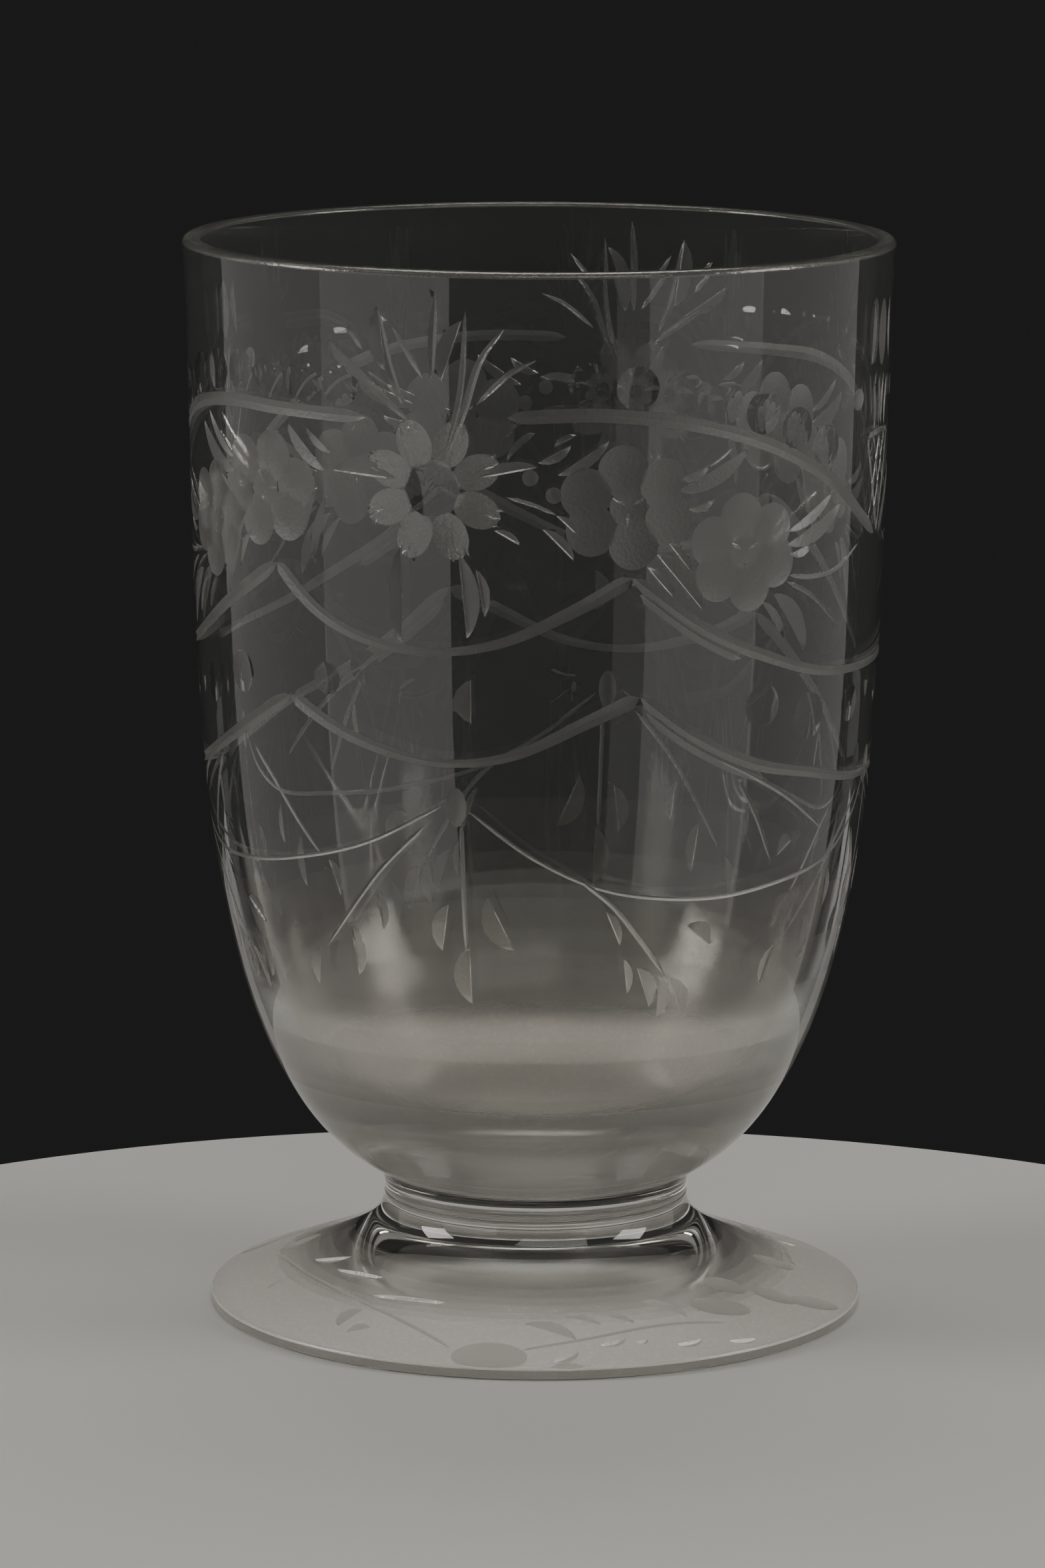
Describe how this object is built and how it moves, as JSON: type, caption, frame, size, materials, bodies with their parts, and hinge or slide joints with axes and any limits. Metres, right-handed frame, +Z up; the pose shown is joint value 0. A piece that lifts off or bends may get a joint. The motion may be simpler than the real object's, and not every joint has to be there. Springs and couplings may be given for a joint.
{
  "type": "footed whiskey tumbler",
  "caption": "Footed glass tumbler: deep rounded bowl with a thick floor, short waisted collar and spread foot, made to hold a drink.",
  "frame": {"origin": "centre of the ring that the foot rests on, on the resting plane", "axes": "+Z up along the axis of revolution, from foot to rim; the object is a body of revolution, -Y faces the viewer"},
  "size_m": [0.0719, 0.072, 0.11],
  "materials": {
    "bowl_glass": "clear polished glass with fine matte wheel engraving outside and a faint haze low in the bowl",
    "collar_glass": "clear fire-polished glass",
    "foot_glass": "clear glass with engraved sprigs, slightly hazed by handling"
  },
  "bodies": {
    "root": {"bowl": "bowl_glass", "stem_collar": "collar_glass", "foot": "foot_glass"}
  },
  "joints": []
}
